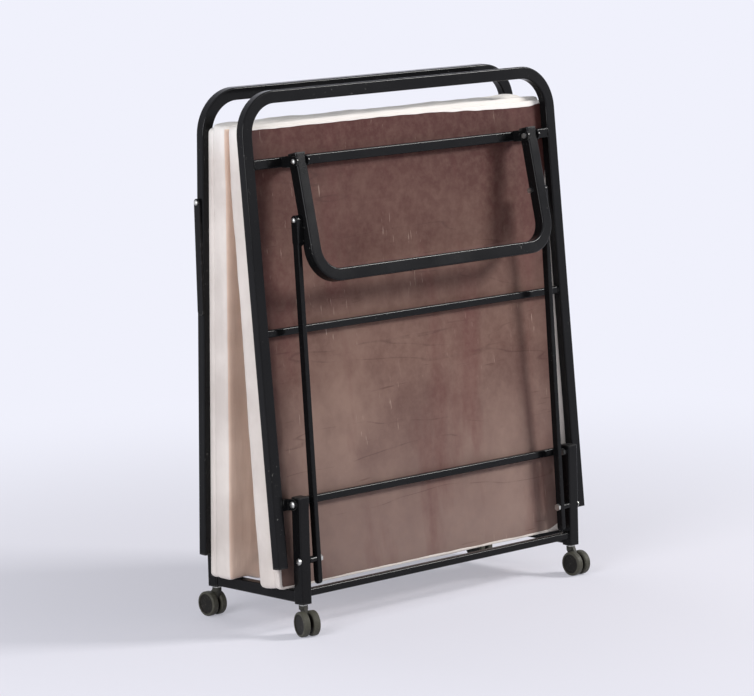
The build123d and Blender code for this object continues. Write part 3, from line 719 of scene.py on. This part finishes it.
def welds(body, place, bars):
    """All beads of one welded frame. bars is a list of (lowest corner, highest corner, axis, open side)."""
    mesh = bmesh.new()
    seed = 0
    for bar in bars:
        for start, stop in bar_seams(*bar):
            seed += 1
            bead(mesh, place, start, stop, seed * 1.7)
    bmesh.ops.recalc_face_normals(mesh, faces=mesh.faces)
    data = bpy.data.meshes.new(f"{body}_welds")
    mesh.to_mesh(data)
    mesh.free()
    data.materials.append(PAINT)
    for flat in data.polygons:
        flat.use_smooth = True
    item = bpy.data.objects.new(f"{body}_welds", data)
    bpy.context.scene.collection.objects.link(item)
    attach(item, body)


welds("base", Matrix.Identity(4),
      [(*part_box(name), 1, None) for name in ("side_bar_left", "side_bar_right")]
      + [(*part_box(name), 0, None) for name in ("front_bar", "rear_bar")])
for end in ENDS:
    bars = []
    for name in ("upper", "middle"):
        low, high = local_box(f"{end}_{name}_crossbar", HALVES[end])
        bars.append((low, high, 0, (2, high.z)))
    welds(f"{end}_frame", HALVES[end], bars)


# Floor, light and camera

def area_light(name, at, target, size, power, colour, mirrored=True):
    lamp = bpy.data.lights.new(name, "AREA")
    lamp.shape = "RECTANGLE"
    lamp.size, lamp.size_y = size
    lamp.energy = power
    lamp.color = colour
    item = bpy.data.objects.new(name, lamp)
    item.location = at
    item.rotation_euler = (Vector(target) - Vector(at)).to_track_quat("-Z", "Y").to_euler()
    item.visible_camera = False
    item.visible_glossy = mirrored
    bpy.context.scene.collection.objects.link(item)


BACKDROP = rgb(240, 241, 252)
FLOOR_HALF = 14
FLOOR_NEAR = 0.5           # from here the floor's own shade fades into the backdrop
FLOOR_FAR = 2.6
WORLD_FILL = 0.32


def seen_directly(tree):
    """One for what the camera sees, straight or in a reflection or through glass."""
    ray = add(tree, "LightPath").outputs
    either = maths(tree, "MAXIMUM", ray["Is Camera Ray"], ray["Is Glossy Ray"])
    return maths(tree, "MAXIMUM", either, ray["Is Transmission Ray"])


def studio():
    floor = bpy.data.meshes.new("floor")
    corners = [(FLOOR_HALF * x, FLOOR_HALF * y, 0) for x, y in ((-1, -1), (1, -1), (1, 1), (-1, 1))]
    floor.from_pydata(corners, [], [(0, 1, 2, 3)])
    item = bpy.data.objects.new("floor", floor)
    bpy.context.scene.collection.objects.link(item)
    material, tree, shader = new_tree("floor")
    join(tree, shader, {"Base Color": rgb(220, 219, 228), "Roughness": 0.9, "Specular IOR Level": 0.1})
    coords = add(tree, "TexCoord").outputs["Object"]
    reach = add(tree, "VectorMath", {0: coords}, operation="LENGTH").outputs["Value"]
    span = {"Value": reach, "From Min": FLOOR_NEAR, "From Max": FLOOR_FAR, "To Min": 0.3}
    far = add(tree, "MapRange", span, interpolation_type="SMOOTHSTEP").outputs["Result"]
    glow = add(tree, "Emission", {"Color": BACKDROP, "Strength": 1.0})
    mix = add(tree, "MixShader", {0: times(tree, far, seen_directly(tree)), 1: shader.outputs["BSDF"],
                                  2: glow.outputs["Emission"]})
    tree.links.new(mix.outputs["Shader"], tree.nodes["Material Output"].inputs["Surface"])
    floor.materials.append(material)

    world = bpy.data.worlds.new("studio")
    world.use_nodes = True
    bpy.context.scene.world = world
    tree = world.node_tree
    shown = add(tree, "Background", {"Color": BACKDROP, "Strength": 1.0})
    fill = add(tree, "Background", {"Color": (0.96, 0.97, 1.0, 1), "Strength": WORLD_FILL})
    mix = add(tree, "MixShader", {0: seen_directly(tree), 1: fill.outputs["Background"],
                                  2: shown.outputs["Background"]})
    tree.links.new(mix.outputs["Shader"], tree.nodes["World Output"].inputs["Surface"])

    area_light("key", (3.23, -3.01, 2.8), (0, 0, 0.45), (1.3, 1.1), 225, (1.0, 0.985, 0.96))
    area_light("fill", (-3.9, -1.15, 1.8), (0, 0, 0.5), (2.4, 2.2), 114, (0.98, 0.985, 1.0))
    area_light("back", (0.6, 5.2, 1.3), (0, 0, 0.55), (3.2, 1.8), 85, (1.0, 0.99, 0.975), mirrored=False)


CAMERA_TURN, CAMERA_RISE, CAMERA_ROLL = radians(42.48), radians(8.36), radians(-1.6)
CAMERA_TARGET = Vector((-0.0198, 0.0219, 0.5086))
CAMERA_DISTANCE = 7.326
FOCAL_PIXELS = 3623.42
IMAGE_WIDTH = 754
SENSOR_WIDTH = 36.0


def camera():
    turn, rise, roll = CAMERA_TURN, CAMERA_RISE, CAMERA_ROLL
    back = Vector((-sin(turn) * cos(rise), -cos(turn) * cos(rise), sin(rise)))
    right = (-back).cross(Vector((0, 0, 1))).normalized()
    up = right.cross(-back)
    across = right * cos(roll) + up * sin(roll)
    lens = bpy.data.cameras.new("camera")
    lens.sensor_fit = "HORIZONTAL"
    lens.sensor_width = SENSOR_WIDTH
    lens.lens = SENSOR_WIDTH * FOCAL_PIXELS / IMAGE_WIDTH
    lens.clip_end = 100
    item = bpy.data.objects.new("camera", lens)
    place = Matrix((across, back.cross(across), back)).transposed().to_4x4()
    place.translation = CAMERA_TARGET + back * CAMERA_DISTANCE
    item.matrix_world = place
    bpy.context.scene.collection.objects.link(item)
    bpy.context.scene.camera = item


studio()
camera()
bpy.context.scene.view_settings.view_transform = "Standard"
